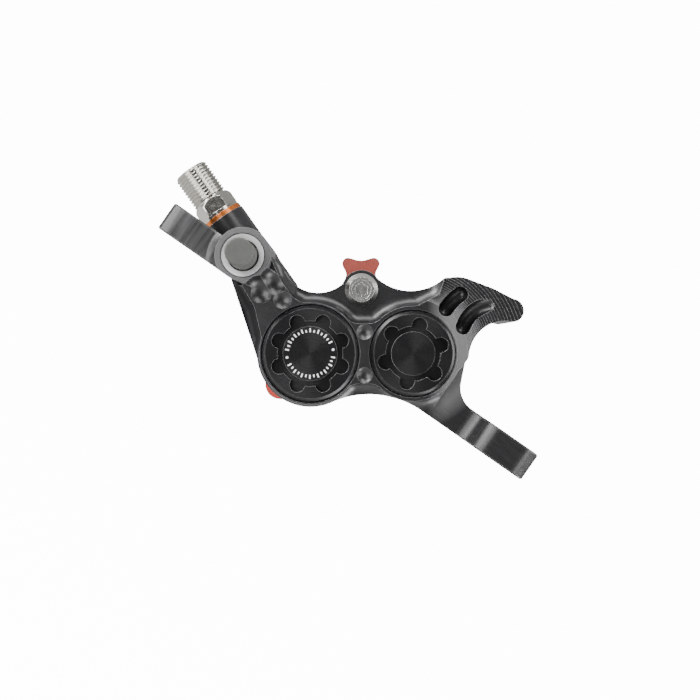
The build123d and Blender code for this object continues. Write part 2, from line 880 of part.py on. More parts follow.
def pad_friction(side):
    half = pad_half_length - friction_inset
    top = pad_top - friction_inset
    bottom = pad_bottom - friction_inset
    block = tilted_outline([(-half, -bottom), (half, -bottom), (half, top), (-half, top)],
                           (pad_corner_r, pad_corner_r, pad_top_corner_r, pad_top_corner_r))
    groove = tilted_outline(
        [(-friction_groove_half, -2 * bottom), (friction_groove_half, -2 * bottom),
         (friction_groove_half, 2 * top), (-friction_groove_half, 2 * top)], 0)
    lining = prism_between(block - pad_arc(friction_inset), friction_face, backing_face, side)
    return lining - prism_between(groove, 0, friction_face + friction_groove_depth, side)


def pad_spring():
    """Two leaves beside the backings, joined by a strap just under the pin."""
    low = pad_top - friction_inset + spring_friction_gap
    strap_top = pin_rise - pin_r - spring_pin_clearance
    outer = backing_face - spring_pad_clearance
    half = window_half_length - spring_end_clearance
    leaf_top = low + spring_leaf_height
    leaf = tilted_outline([(-half, low), (half, low), (half, leaf_top), (-half, leaf_top)],
                          spring_leaf_height / 3)
    leaf += tilted_outline(
        [(-spring_strap_half_width, low), (spring_strap_half_width, low),
         (spring_strap_half_width, strap_top), (-spring_strap_half_width, strap_top)], 0)
    strap = tilted_outline(
        [(-spring_strap_half_width, strap_top - spring_thickness),
         (spring_strap_half_width, strap_top - spring_thickness),
         (spring_strap_half_width, strap_top), (-spring_strap_half_width, strap_top)], 0)
    spring = prism(strap, disc_plane_y - outer, disc_plane_y + outer)
    spring += prism(leaf, disc_plane_y - outer, disc_plane_y - outer + spring_thickness)
    spring += prism(leaf, disc_plane_y + outer - spring_thickness, disc_plane_y + outer)
    return spring


def pad_pin():
    """Pin with a conical socket head in front and a clip groove behind."""
    head_base = shelf_y - pin_head_rim
    head_top = head_base - pin_head_height
    tail = back_y + pin_tail
    groove_start = back_y + clip_back_gap - clip_fit
    groove_end = back_y + clip_back_gap + clip_thickness + clip_fit
    pin = turned(
        pin_x, pin_z, (0, head_top + pin_recess_depth),
        (pin_recess_r, head_top + pin_recess_depth), (pin_recess_r, head_top),
        (pin_head_top_r, head_top), (pin_head_r, head_base),
        (pin_head_r, shelf_y), (pin_r, shelf_y), (pin_r, groove_start),
        (pin_groove_r, groove_start), (pin_groove_r, groove_end), (pin_r, groove_end),
        (pin_r, tail - pin_tail_chamfer), (pin_r - pin_tail_chamfer, tail), (0, tail))
    socket = Pos(pin_x, pin_z) * RegularPolygon(pin_socket_r, 6, major_radius=True)
    return pin - prism(socket, head_top - cut_overrun, head_top + pin_socket_depth)


def pin_clip():
    start = back_y + clip_back_gap
    inner = pin_groove_r + clip_fit
    half = math.radians(clip_gap_angle / 2)
    reach = 2 * clip_outer_r
    gap = make_face(Polyline(
        (pin_x, pin_z), (pin_x + reach * math.sin(half), pin_z - reach * math.cos(half)),
        (pin_x - reach * math.sin(half), pin_z - reach * math.cos(half)), close=True))
    band = circle_at(pin_x, pin_z, clip_outer_r) - circle_at(pin_x, pin_z, inner) - gap
    return prism(band, start, start + clip_thickness)


def transport_spacer():
    """Fork between the pads with a thicker fishtail grip outside the body."""
    slot_top = pin_rise + pin_r + spacer_slot_gap
    right = [(spacer_leg_half_length, -spacer_foot), (spacer_leg_half_length, spacer_shoulder),
             (spacer_hip_half_width, spacer_hip_rise), (spacer_neck_half_width, spacer_neck_rise),
             (spacer_tip_half_width, spacer_tip_rise)]
    radii = [spacer_foot_r, spacer_hip_r, spacer_hip_r, spacer_neck_r, spacer_tip_r]
    left = [(-along, out) for along, out in reversed(right)]
    fork = tilted_outline(
        right + [(0, spacer_dip_rise)] + left, radii + [spacer_dip_r] + radii[::-1])
    fork -= tilted_outline(
        [(-spacer_slot_half_width, -2 * spacer_foot), (spacer_slot_half_width, -2 * spacer_foot),
         (spacer_slot_half_width, slot_top), (-spacer_slot_half_width, slot_top)],
        (0, 0, spacer_slot_half_width / 2, spacer_slot_half_width / 2))
    grip = fork & tilted_outline(
        [(-spacer_leg_half_length, spacer_grip_start), (spacer_leg_half_length, spacer_grip_start),
         (spacer_leg_half_length, 2 * spacer_tip_rise),
         (-spacer_leg_half_length, 2 * spacer_tip_rise)], 0)
    half = spacer_thickness / 2
    grip_half = spacer_grip_thickness / 2
    return (prism(fork, disc_plane_y - half, disc_plane_y + half)
            + prism(grip, disc_plane_y - grip_half, disc_plane_y + grip_half))


def hexagon(flats):
    """Hexagon of a given width across its flats."""
    return RegularPolygon(flats / 2, 6, major_radius=False)


def bleed_nipple():
    """Valve with a hexagon, a barbed stem and a drilled cone tip."""
    seat = -ear_half_depth + bleed_well_depth
    thread_end = seat + bleed_thread_length
    hex_top = seat - bleed_hex_height
    stem_top = hex_top - bleed_stem_length
    tip = thread_end + bleed_tip_length - bleed_tip_gap
    barb = stem_top + bleed_barb_length
    nipple = turned(
        bleed_x, bleed_z, (bleed_bore_r, stem_top), (bleed_stem_r, stem_top),
        (bleed_barb_r, barb), (bleed_stem_r, barb), (bleed_stem_r, hex_top),
        (bleed_hex_flats / 2, hex_top), (bleed_hex_flats / 2, seat), (bleed_thread_r, seat),
        (bleed_thread_r, thread_end), (bleed_tip_r, tip), (bleed_bore_r, tip))
    nut = prism(Pos(bleed_x, bleed_z) * hexagon(bleed_hex_flats), hex_top, seat)
    return nipple + (nut - rod(bleed_x, bleed_z, bleed_stem_r, hex_top, seat))


def bleed_cap():
    """Rubber cap over the nipple's stem."""
    top = -ear_half_depth - bleed_cap_top
    open_end = -ear_half_depth + bleed_well_depth - bleed_hex_height - bleed_cap_wall_gap
    inner = bleed_barb_r + bleed_cap_wall_gap
    roof = open_end - bleed_stem_length - bleed_cap_wall_gap
    wall = Polyline((bleed_cap_tip_r - bleed_cap_dome, top), (0, top), (0, roof), (inner, roof),
                    (inner, open_end), (bleed_cap_r, open_end),
                    (bleed_cap_tip_r, top + bleed_cap_dome))
    crown = RadiusArc(wall @ 1, wall @ 0, bleed_cap_dome)
    return Pos(bleed_x, 0, bleed_z) * revolve(make_face([wall, crown]), Axis.Y, 360)


def hose_connector():
    """Union: thread into the body, collar, hexagon, and the thread for the hose nut."""
    collar = washer_thickness
    hex_start = collar + connector_collar_length
    hex_end = hex_start + connector_hex_length
    neck_end = hex_end + connector_neck_length
    end = neck_end + connector_thread_length
    union = along_port(port_thread_r, -port_thread_length, collar)
    union += along_port(connector_collar_r, collar, hex_start)
    nut = extrude(hexagon(connector_hex_flats), amount=connector_hex_length)
    corner_r = connector_hex_flats / 2 / math.cos(math.pi / 6)
    dome = Pos(0, 0, connector_hex_length / 2) * Cylinder(corner_r, connector_hex_length)
    nut &= chamfer(dome.edges().sort_by(Axis.Z)[-1], connector_hex_chamfer)
    union += port_plane * (Pos(0, 0, hex_start) * Rot(0, 0, connector_hex_turn) * nut)
    union += along_port(connector_neck_r, hex_end, neck_end)
    union += along_port(connector_thread_r, neck_end, end - connector_thread_chamfer)
    tip = Cone(connector_thread_r, connector_thread_r - connector_thread_chamfer,
               connector_thread_chamfer, align=(Align.CENTER, Align.CENTER, Align.MIN))
    union += port_plane * (Pos(0, 0, end - connector_thread_chamfer) * tip)
    union -= along_port(connector_bore_r, -port_thread_length - cut_overrun, end)
    seat = Cone(connector_bore_r, connector_seat_r, connector_seat_depth,
                align=(Align.CENTER, Align.CENTER, Align.MAX))
    return union - port_plane * (Pos(0, 0, end) * seat)


def copper_washer():
    bore = along_port(port_thread_r + washer_bore_clearance, -cut_overrun,
                      washer_thickness + cut_overrun)
    return along_port(washer_r, 0, washer_thickness) - bore


def gallery_plug():
    _, away = plug_line()
    mouth = plug_mouth()
    plug = drilling(mouth - away * (plug_length - plug_fit), mouth, plug_r)
    socket = drilling(mouth - away * plug_socket_depth, mouth + away * cut_overrun, plug_socket_r)
    return plug - socket


def all_parts():
    parts = {
        "caliper_body": caliper_body(),
        "large_bore_cap": bore_cap(large_x, large_z, large_cap_r, large_cap_boss_r,
                                   large_cap_pocket_count, large_cap_pocket_ring_r,
                                   large_cap_pocket_angle),
        "small_bore_cap": bore_cap(small_x, small_z, small_cap_r, small_cap_boss_r,
                                   small_cap_pocket_count, small_cap_pocket_ring_r,
                                   small_cap_pocket_angle),
        "large_cap_o_ring": o_ring(large_x, large_z, large_cap_r),
        "small_cap_o_ring": o_ring(small_x, small_z, small_cap_r),
        "pad_spring": pad_spring(),
        "pad_pin": pad_pin(),
        "pin_clip": pin_clip(),
        "transport_spacer": transport_spacer(),
        "bleed_nipple": bleed_nipple(),
        "bleed_cap": bleed_cap(),
        "hose_connector": hose_connector(),
        "copper_washer": copper_washer(),
        "gallery_plug": gallery_plug(),
    }
    for half, side in (("outboard", -1), ("inboard", 1)):
        parts[half + "_large_piston"] = piston(large_x, large_z, large_piston_r, side)
        parts[half + "_small_piston"] = piston(small_x, small_z, small_piston_r, side)
        parts[half + "_large_seal"] = piston_seal(large_x, large_z, large_piston_r, side)
        parts[half + "_small_seal"] = piston_seal(small_x, small_z, small_piston_r, side)
        parts[half + "_pad_backing"] = pad_backing(side)
        parts[half + "_pad_friction"] = pad_friction(side)
    return parts


if __name__ == "__main__":
    os.makedirs("parts", exist_ok=True)
    for name, shape in all_parts().items():
        shape.label = name
        print(name, len(shape.solids()), round(shape.volume, 1), shape.is_valid)
        export_step(shape, "parts/" + name + ".step")
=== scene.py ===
import bmesh
import bpy
import math
from mathutils import Matrix, Vector


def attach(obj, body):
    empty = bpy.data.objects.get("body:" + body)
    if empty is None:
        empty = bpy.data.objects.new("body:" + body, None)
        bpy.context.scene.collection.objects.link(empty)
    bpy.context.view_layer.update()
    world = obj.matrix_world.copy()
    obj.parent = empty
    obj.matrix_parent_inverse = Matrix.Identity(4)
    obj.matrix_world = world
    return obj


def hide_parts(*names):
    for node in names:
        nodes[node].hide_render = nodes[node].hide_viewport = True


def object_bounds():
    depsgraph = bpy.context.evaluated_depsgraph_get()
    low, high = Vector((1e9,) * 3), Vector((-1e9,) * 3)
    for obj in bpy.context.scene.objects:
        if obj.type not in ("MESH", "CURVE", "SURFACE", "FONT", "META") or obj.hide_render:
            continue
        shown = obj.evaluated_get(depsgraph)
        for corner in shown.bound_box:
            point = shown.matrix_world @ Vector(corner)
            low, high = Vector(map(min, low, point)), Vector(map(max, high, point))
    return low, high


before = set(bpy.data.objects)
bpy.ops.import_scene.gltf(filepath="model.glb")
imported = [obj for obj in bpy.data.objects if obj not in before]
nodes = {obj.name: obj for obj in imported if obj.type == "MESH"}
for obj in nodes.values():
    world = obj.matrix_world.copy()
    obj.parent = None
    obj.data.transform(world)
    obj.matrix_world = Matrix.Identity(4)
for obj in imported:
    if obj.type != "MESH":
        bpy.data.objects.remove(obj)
cad_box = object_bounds()

# Named lengths are in millimetres, but for those of the stage and the lights, which are in metres
MM = 0.001

# Directions of the photograph: the pistons' chord runs across it
chord_angle = math.radians(34.8)
image_right = Vector((math.cos(chord_angle), 0, math.sin(chord_angle)))
image_up = Vector((-math.sin(chord_angle), 0, math.cos(chord_angle)))
towards_viewer = Vector((0, -1, 0))

# Camera
camera_distance = 300.0
camera_axis_x = 38.4
camera_axis_z = 1.93
pixels_per_mm = 4.72
photo_width = 700
sensor_width = 36.0
clip_near = 10.0
clip_far = 20000.0

# Places on the part
pair_x = 40.8
pair_z = 2.7
half_bore_spacing = 10.7
pin_rise = 13.35
front_y = -6.0
bleed_x = 9.1
bleed_z = 5.35
boss_r = 5.85
boss_top_y = -8.5
well_r = 3.28
cone_r = 4.42
cone_end_y = -7.7

# Faces of the body that get a finish of their own: the horn's terraces, a turned cone whose light
# colour is partly a painted reflection, and a boss ring and near ear lightened by painted
# highlights
facing_front = -0.9
cone_flattest = 0.97
boss_ring_margin = 0.05
horn_front_margin = 0.2
horn_back_y = 2.5
horn_bore_reach = 11.3
horn_start_along = 15.0
horn_lowest_out = -4.0
near_ear_steepest = -0.6
near_ear_back_y = -5.0
near_ear_end_x = 3.6

# Where the painted shade (a duller specular) on the shelf below the neck and the painted highlight
# round the rim of the small bore fade, from and to
shelf_edge_fade = 1.0
shelf_depth_fade = (-4.6, -3.8)
shelf_far_fade = (27.0, 31.0)
shelf_ear_fade = (9.0, 10.0)
rim_radius_fade = (12.5, 16.0)
rim_along_fade = (3.0, 7.0)
rim_depth_fade = (-3.0, -1.5)

# Hose union, measured out from the face of its boss
port_angle = math.radians(20.0)
port_point = Vector((0, 14.0, 9.46))
port_face_reach = 1.2
port_out = Vector((-math.cos(port_angle), 0, math.sin(port_angle)))
port_side = Vector((0, 1, 0))
inner_end = -5.0
inner_r = 3.0
collar_start = 1.0
collar_r = 4.55
hex_start = 1.75
hex_end = 5.0
hex_sector = math.pi / 3
hex_apothem = 4.0
hex_face_r = 4.02
hex_chamfer_slope = 0.7
hex_chamfer_steps = 8
neck_end = 5.4
neck_r = 3.45
union_end = 13.0
thread_r = 4.0
thread_pitch = 0.75
thread_depth = 0.42
thread_root_share = 0.14
thread_flank_share = 0.72
thread_end_chamfer = 0.5
seat_r = 2.6
seat_depth = 2.4
bore_r = 1.2
union_turns = 144
steps_per_pitch = 10
sharpest_smooth_angle = math.radians(32)

# Marks printed on the large cap
print_height = 0.02
mark_face_y = -6.3
mark_inner_r = 4.42
mark_outer_r = 5.25
mark_short_r = 4.95
mark_width = 0.30
half_turn = 180.0
marks_per_half = 15
first_mark_angle = 19.0
last_mark_angle = 161.0
dot_line_angle = 9.7
dot_ring_r = 4.85
dot_r = 0.27
dot_sides = 20

# Textures: scales are repeats per metre, and clouds use the middle of the noise's range
cloud_detail = 4.0
line_detail = 3.0
fine_detail = 2.0
noise_roughness = 0.5
noise_low = 0.3
noise_high = 0.7
bevel_samples = 6
# Edge mask from the bevel's turn, for rubbed wear and painted edge highlights
edge_wear_and_highlight_dot = 0.80
open_dot = 0.985
shader_ior = 1.5

anodised_cloud_scale = 120.0
anodised_grain_scale = 5200.0
anodised_grain_height = 0.002
anodised_grain_strength = 0.15
anodised_edge_r = 0.14
cutter_line_scale = (300.0, 300.0, 6000.0)
streak_scale = (900.0, 900.0, 60.0)
plain_specular = 0.5
# Duller specular of the neck shelf, darkening it as painted shade
painted_shade_specular = 0.12
# Lighter colour painted round the small bore's rim as a highlight
polished_colour = (0.085, 0.085, 0.086)

turned_edge_r = 0.1
turned_anisotropy = 0.85
turned_strength = 0.5
turned_rough_shares = (0.8, 1.3)
# Edge colour of turned metal: rubbed wear and a painted edge highlight
rim_wear_and_highlight_gain = 4
rim_wear_and_highlight_lift = 0.22

metal_cloud_scale = 300.0
metal_fine_scale = 900.0
metal_fine_height = 0.001
metal_fine_strength = 0.3
metal_edge_r = 0.08
metal_rough_shares = (0.8, 1.25)

moulded_cloud_scale = 260.0
moulded_detail = 3.0
moulded_strength = 0.5
moulded_edge_r = 0.1

# Finishes: dark and light are linear colours, rough and roughness the shader's roughness, and the
# edge colour is partly rubbed wear and partly a painted edge highlight
finishes = {
    "anodised_body": dict(dark=(0.004, 0.004, 0.0045), light=(0.008, 0.008, 0.0085),
                          rough=(0.27, 0.37), edge_wear_and_highlight=(0.26, 0.26, 0.265)),
    "anodised_terraces": dict(dark=(0.004, 0.004, 0.0045), light=(0.008, 0.008, 0.0085),
                              rough=(0.26, 0.36), edge_wear_and_highlight=(0.14, 0.14, 0.145), edge=0.16),
    # Boss ring: a lighter colour, painted on as a highlight
    "anodised_boss_ring": dict(dark=(0.055, 0.055, 0.056), light=(0.080, 0.080, 0.081),
                               rough=(0.36, 0.46), edge_wear_and_highlight=(0.20, 0.20, 0.205)),
    # Near ear: milling streaks, lightened overall as a painted highlight
    "anodised_near_ear": dict(dark=(0.006, 0.006, 0.0065), light=(0.055, 0.055, 0.056),
                              rough=(0.34, 0.44), edge_wear_and_highlight=(0.26, 0.26, 0.265)),
    # Turned cone: light bare metal, its diffuse colour raised as a painted reflection
    "turned_cone": dict(dark=(0.50, 0.50, 0.50), light=(0.70, 0.70, 0.70), roughness=0.34,
                        spacing=0.1, metallic=0.25, depth=0.004),
    "large_cap_metal": dict(dark=(0.002, 0.002, 0.0022), light=(0.005, 0.005, 0.0055),
                            roughness=0.28, spacing=0.09, metallic=0.0, depth=0.004, shine=0.3),
    "small_cap_metal": dict(dark=(0.002, 0.002, 0.0022), light=(0.005, 0.005, 0.0055),
                            roughness=0.28, spacing=0.09, metallic=0.0, depth=0.004, shine=0.3),
    "pin_steel": dict(dark=(0.68, 0.68, 0.65), light=(0.80, 0.80, 0.77), roughness=0.22,
                      spacing=0.25, metallic=1.0, depth=0.001, anisotropy=0.3, edge=0.03),
    "nickel_plate": dict(dark=(0.46, 0.445, 0.41), light=(0.54, 0.525, 0.49), roughness=0.14),
    "copper": dict(dark=(0.50, 0.13, 0.03), light=(0.72, 0.22, 0.055), roughness=0.3),
    "spring_steel": dict(dark=(0.40, 0.40, 0.39), light=(0.52, 0.52, 0.50), roughness=0.3),
    "cap_rubber": dict(dark=(0.026, 0.028, 0.024), light=(0.044, 0.046, 0.041),
                       roughness=0.62, grain=2600.0, depth=0.02),
    "red_plastic": dict(dark=(0.17, 0.027, 0.018), light=(0.25, 0.046, 0.032),
                        roughness=0.42, grain=2200.0, depth=0.02),
    "red_paint": dict(dark=(0.34, 0.025, 0.014), light=(0.45, 0.045, 0.025),
                      roughness=0.38, grain=1800.0, depth=0.01),
    "friction_lining": dict(dark=(0.05, 0.045, 0.04), light=(0.15, 0.13, 0.12),
                            roughness=0.9, grain=1500.0, depth=0.05),
    "piston_phenolic": dict(dark=(0.05, 0.045, 0.04), light=(0.08, 0.07, 0.06),
                            roughness=0.4, grain=1500.0, depth=0.01),
    "seal_rubber": dict(dark=(0.012, 0.012, 0.012), light=(0.02, 0.02, 0.02),
                        roughness=0.5, grain=2500.0, depth=0.01),
    "white_ink": dict(dark=(0.62, 0.62, 0.61), light=(0.80, 0.80, 0.79),
                      roughness=0.55, grain=3000.0, depth=0.004),
}

# Stage: Y is the direction that the camera looks in, in metres on the floor
floor_half = 2.5
floor_drop = 0.25
floor_grey = (0.3, 0.3, 0.3)
floor_near_light = 0.6
floor_far_light = 14.0
floor_light_start_y = 0.1
floor_light_end_y = 0.42

# Strength of the world, by the Y of the direction that is looked in
world_front = 0.12
world_side = 0.55
world_back = 14.0
world_front_y = -0.8
world_side_y = 0.1
world_back_start_y = 0.89
world_back_end_y = 0.94

# Softboxes: right, up and in front of the part, width and height, and power in watts
softboxes = {
    "key_upper_left": (-0.36, 0.46, 0.18, 0.50, 0.34, 10.0),
    "top": (0.10, 0.52, 0.32, 0.60, 0.22, 4.0),
    "left_front": (-0.37, 0.06, 0.46, 0.40, 0.44, 4.0),
    "right_front": (0.42, -0.14, 0.39, 0.26, 0.38, 1.8),
    "right_side": (0.55, 0.05, 0.05, 0.30, 0.50, 5.0),
    "low_right": (0.30, -0.42, 0.05, 0.40, 0.25, 4.0),
}


def add_camera():
    data = bpy.data.cameras.new("camera")
    data.sensor_width = sensor_width
    data.lens = pixels_per_mm * camera_distance / photo_width * sensor_width
    data.clip_start = clip_near * MM
    data.clip_end = clip_far * MM
    camera = bpy.data.objects.new("camera", data)
    turn = Matrix((image_right, image_up, towards_viewer)).transposed().to_4x4()
    place = Vector((camera_axis_x, -camera_distance, camera_axis_z)) * MM
    camera.matrix_world = Matrix.Translation(place) @ turn
    bpy.context.scene.collection.objects.link(camera)
    bpy.context.scene.camera = camera


def tilted(along, out):
    """X and Z of a point along the piston chord and outwards from the disc."""
    return (pair_x + along * image_right.x + out * image_up.x,
            pair_z + along * image_right.z + out * image_up.z)


def chord_place(point):
    """Distances of a point along the piston chord and outwards from it."""
    away = point - Vector((pair_x, 0, pair_z))
    return away.dot(image_right), away.dot(image_up)


def reach_from(point, x, z):
    """Distance of a point from an axis along Y."""
    return math.hypot(point.x - x, point.z - z)


# Shader helpers

def new_material(name):
    material = bpy.data.materials.new(name)
    material.use_nodes = True
    tree = material.node_tree
    return material, tree, tree.nodes["Principled BSDF"]


def add_node(tree, kind, **values):
    node = tree.nodes.new(kind)
    for key, value in values.items():
        setattr(node, key, value)
    return node


def link(tree, source, target):
    tree.links.new(source, target)


def place_of(tree):
    return add_node(tree, "ShaderNodeTexCoord").outputs["Object"]


def coordinate(tree, axis, place=None):
    """One coordinate of the shaded point, or of another place."""
    split = add_node(tree, "ShaderNodeSeparateXYZ")
    link(tree, place or place_of(tree), split.inputs["Vector"])
    return split.outputs[axis]


def length_of(tree, vector):
    length = add_node(tree, "ShaderNodeVectorMath", operation="LENGTH")
    link(tree, vector, length.inputs[0])
    return length.outputs["Value"]


def dot_with(tree, vector, direction):
    dot = add_node(tree, "ShaderNodeVectorMath", operation="DOT_PRODUCT")
    dot.inputs[1].default_value = direction
    link(tree, vector, dot.inputs[0])
    return dot.outputs["Value"]


def multiplied(tree, *parts):
    total = parts[0]
    for part in parts[1:]:
        product = add_node(tree, "ShaderNodeMath", operation="MULTIPLY")
        link(tree, total, product.inputs[0])
        link(tree, part, product.inputs[1])
        total = product.outputs["Value"]
    return total


def noise(tree, scale, detail=cloud_detail, place=None):
    texture = add_node(tree, "ShaderNodeTexNoise")
    texture.inputs["Scale"].default_value = scale
    texture.inputs["Detail"].default_value = detail
    texture.inputs["Roughness"].default_value = noise_roughness
    link(tree, place or place_of(tree), texture.inputs["Vector"])
    return texture.outputs["Fac"]


def spread(tree, value, low, high, start=0.0, end=1.0):
    """Maps one range of a value on to another, held at its ends."""
    ranged = add_node(tree, "ShaderNodeMapRange")
    ranged.inputs["From Min"].default_value = start
    ranged.inputs["From Max"].default_value = end
    ranged.inputs["To Min"].default_value = low
    ranged.inputs["To Max"].default_value = high
    link(tree, value, ranged.inputs["Value"])
    return ranged.outputs["Result"]


def rising(tree, value, fade):
    """0 before a fade and 1 after it."""
    return spread(tree, value, 0.0, 1.0, fade[0] * MM, fade[1] * MM)


def falling(tree, value, fade):
    """1 before a fade and 0 after it."""
    return spread(tree, value, 1.0, 0.0, fade[0] * MM, fade[1] * MM)


def blend(tree, value, dark, light):
    """Colour between two, each a triple or an output of another node."""
    mix = add_node(tree, "ShaderNodeMix", data_type="RGBA")
    for key, colour in (("A", dark), ("B", light)):
        if isinstance(colour, tuple):
            mix.inputs[key].default_value = (*colour, 1)
        else:
            link(tree, colour, mix.inputs[key])
    link(tree, value, mix.inputs["Factor"])
    return mix.outputs["Result"]


def bump(tree, height, distance, strength, normal):
    """Normal of a relief whose distance is in millimetres, on top of another normal."""
    node = add_node(tree, "ShaderNodeBump")
    node.inputs["Distance"].default_value = distance * MM
    node.inputs["Strength"].default_value = strength
    link(tree, height, node.inputs["Height"])
    link(tree, normal, node.inputs["Normal"])
    return node.outputs["Normal"]


def soft_edges(tree, radius):
    node = add_node(tree, "ShaderNodeBevel", samples=bevel_samples)
    node.inputs["Radius"].default_value = radius * MM
    return node.outputs["Normal"]


def edge_mask(tree, softened):
    """1 on sharp edges and 0 on open faces, from how far softening turned the normal."""
    true_normal = add_node(tree, "ShaderNodeNewGeometry").outputs["Normal"]
    dot = add_node(tree, "ShaderNodeVectorMath", operation="DOT_PRODUCT")
    link(tree, softened, dot.inputs[0])
    link(tree, true_normal, dot.inputs[1])
    return spread(tree, dot.outputs["Value"], 1.0, 0.0, edge_wear_and_highlight_dot, open_dot)


def stretched(tree, scale):
    """Place stretched by a factor along each axis of the photograph, for brushed lines."""
    turn = add_node(tree, "ShaderNodeMapping")
    turn.inputs["Rotation"].default_value = (0, chord_angle, 0)
    turn.inputs["Scale"].default_value = scale
    link(tree, place_of(tree), turn.inputs["Vector"])
    return turn.outputs["Vector"]


def from_axis(tree, x, z):
    """Vector from an axis along Y to the shaded point."""
    away = add_node(tree, "ShaderNodeVectorMath", operation="SUBTRACT")
    away.inputs[1].default_value = (x * MM, 0, z * MM)
    link(tree, place_of(tree), away.inputs[0])
    flat = add_node(tree, "ShaderNodeVectorMath", operation="MULTIPLY")
    flat.inputs[1].default_value = (1, 0, 1)
    link(tree, away.outputs["Vector"], flat.inputs[0])
    return flat.outputs["Vector"]


def turning_marks(tree, away, spacing):
    """Fine grooves round an axis, uneven as a lathe leaves them."""
    rings = add_node(tree, "ShaderNodeTexNoise", noise_dimensions="1D")
    rings.inputs["Scale"].default_value = 1 / (spacing * MM)
    rings.inputs["Detail"].default_value = fine_detail
    link(tree, length_of(tree, away), rings.inputs["W"])
    return rings.outputs["Fac"]


def along_grooves(tree, away):
    """Direction of the grooves round an axis along Y."""
    cross = add_node(tree, "ShaderNodeVectorMath", operation="CROSS_PRODUCT")
    cross.inputs[1].default_value = (0, 1, 0)
    link(tree, away, cross.inputs[0])
    return cross.outputs["Vector"]


# Materials

def anodised(name, dark, light, rough, edge_wear_and_highlight, edge=anodised_edge_r, streaked=False,
             deadened=None, polished=None):
    """Black anodised aluminium: fine grain, faint cutter lines, and edges lightened by rubbed wear
    and a painted edge highlight; masks may add a painted highlight and a painted shade.
    """
    material, tree, shader = new_material(name)
    softened = soft_edges(tree, edge)
    if streaked:
        streaks = noise(tree, 1.0, place=stretched(tree, streak_scale))
        cloud = spread(tree, streaks, 0.0, 1.0, noise_low, noise_high)
    else:
        cloud = noise(tree, anodised_cloud_scale)
    base = blend(tree, cloud, dark, light)
    # Painted highlight: a lighter colour where its mask gives it
    if polished is not None:
        base = blend(tree, polished(tree), base, polished_colour)
    # Painted shade: a duller specular where its mask gives it
    if deadened is not None:
        link(tree, spread(tree, deadened(tree), plain_specular, painted_shade_specular),
             shader.inputs["Specular IOR Level"])
    # Edge colour: rubbed wear and a painted edge highlight
    link(tree, blend(tree, edge_mask(tree, softened), base, edge_wear_and_highlight), shader.inputs["Base Color"])
    shader.inputs["IOR"].default_value = shader_ior
    grain = noise(tree, anodised_grain_scale, detail=fine_detail)
    lines = noise(tree, 1.0, detail=line_detail, place=stretched(tree, cutter_line_scale))
    link(tree, spread(tree, lines, *rough, noise_low, noise_high), shader.inputs["Roughness"])
    link(tree, bump(tree, grain, anodised_grain_height, anodised_grain_strength, softened),
         shader.inputs["Normal"])
    return material


def turned_metal(name, axis, dark, light, roughness, spacing, metallic, depth,
                 anisotropy=turned_anisotropy, shine=plain_specular, edge=turned_edge_r):
    """Metal with turning grooves about an axis, given as its X and Z; its edges are lightened by
    rubbed wear and a painted edge highlight.
    """
    material, tree, shader = new_material(name)
    away = from_axis(tree, *axis)
    rings = turning_marks(tree, away, spacing)
    softened = soft_edges(tree, edge)
    base = blend(tree, rings, dark, light)
    # Edges lightened: partly rubbed wear, partly a painted edge highlight
    rim = tuple(min(1.0, rim_wear_and_highlight_gain * part + rim_wear_and_highlight_lift) for part in light)
    link(tree, blend(tree, edge_mask(tree, softened), base, rim), shader.inputs["Base Color"])
    shader.inputs["Metallic"].default_value = metallic
    shader.inputs["IOR"].default_value = shader_ior
    shader.inputs["Specular IOR Level"].default_value = shine
    link(tree, spread(tree, rings, *[roughness * share for share in turned_rough_shares]),
         shader.inputs["Roughness"])
    shader.inputs["Anisotropic"].default_value = anisotropy
    link(tree, along_grooves(tree, away), shader.inputs["Tangent"])
    link(tree, bump(tree, rings, depth, turned_strength, softened), shader.inputs["Normal"])
    return material


def plain_metal(name, dark, light, roughness):
    """Bare or plated metal with a cloudy, slightly uneven surface."""
    material, tree, shader = new_material(name)
    cloud = noise(tree, metal_cloud_scale)
    link(tree, blend(tree, cloud, dark, light), shader.inputs["Base Color"])
    shader.inputs["Metallic"].default_value = 1.0
    fine = noise(tree, metal_fine_scale, detail=fine_detail)
    low, high = [roughness * share for share in metal_rough_shares]
    link(tree, spread(tree, fine, low, high, noise_low, noise_high), shader.inputs["Roughness"])
    link(tree, bump(tree, fine, metal_fine_height, metal_fine_strength,
                    soft_edges(tree, metal_edge_r)), shader.inputs["Normal"])
    return material


def moulded(name, dark, light, roughness, grain, depth):
    """Plastic, rubber, lining or paint with a fine surface grain."""
    material, tree, shader = new_material(name)
    cloud = noise(tree, moulded_cloud_scale)
    link(tree, blend(tree, cloud, dark, light), shader.inputs["Base Color"])
    shader.inputs["Roughness"].default_value = roughness
    fine = noise(tree, grain, detail=moulded_detail)
    link(tree, bump(tree, fine, depth, moulded_strength, soft_edges(tree, moulded_edge_r)),
         shader.inputs["Normal"])
    return material


def finished(maker, name, *places, **extra):
    """Material made with the values of a named finish."""
    return maker(name, *places, **finishes[name], **extra)


# Places on the body with a finish of their own

def neck_shelf_painted_shade(tree):
    """1 on the shelf below the neck, on the posts' side of it, where a duller specular darkens the
    face as painted shade.
    """
    large_x, large_z = tilted(-half_bore_spacing, 0)
    across = Vector((large_z - bleed_z, 0, bleed_x - large_x)).normalized()
    line = across.dot(Vector((bleed_x, 0, bleed_z)))
    side = rising(tree, dot_with(tree, place_of(tree), across), (line, line + shelf_edge_fade))
    deep = rising(tree, coordinate(tree, "Y"), shelf_depth_fade)
    near = falling(tree, coordinate(tree, "X"), shelf_far_fade)
    past_ear = rising(tree, coordinate(tree, "X"), shelf_ear_fade)
    return multiplied(tree, side, deep, near, past_ear)


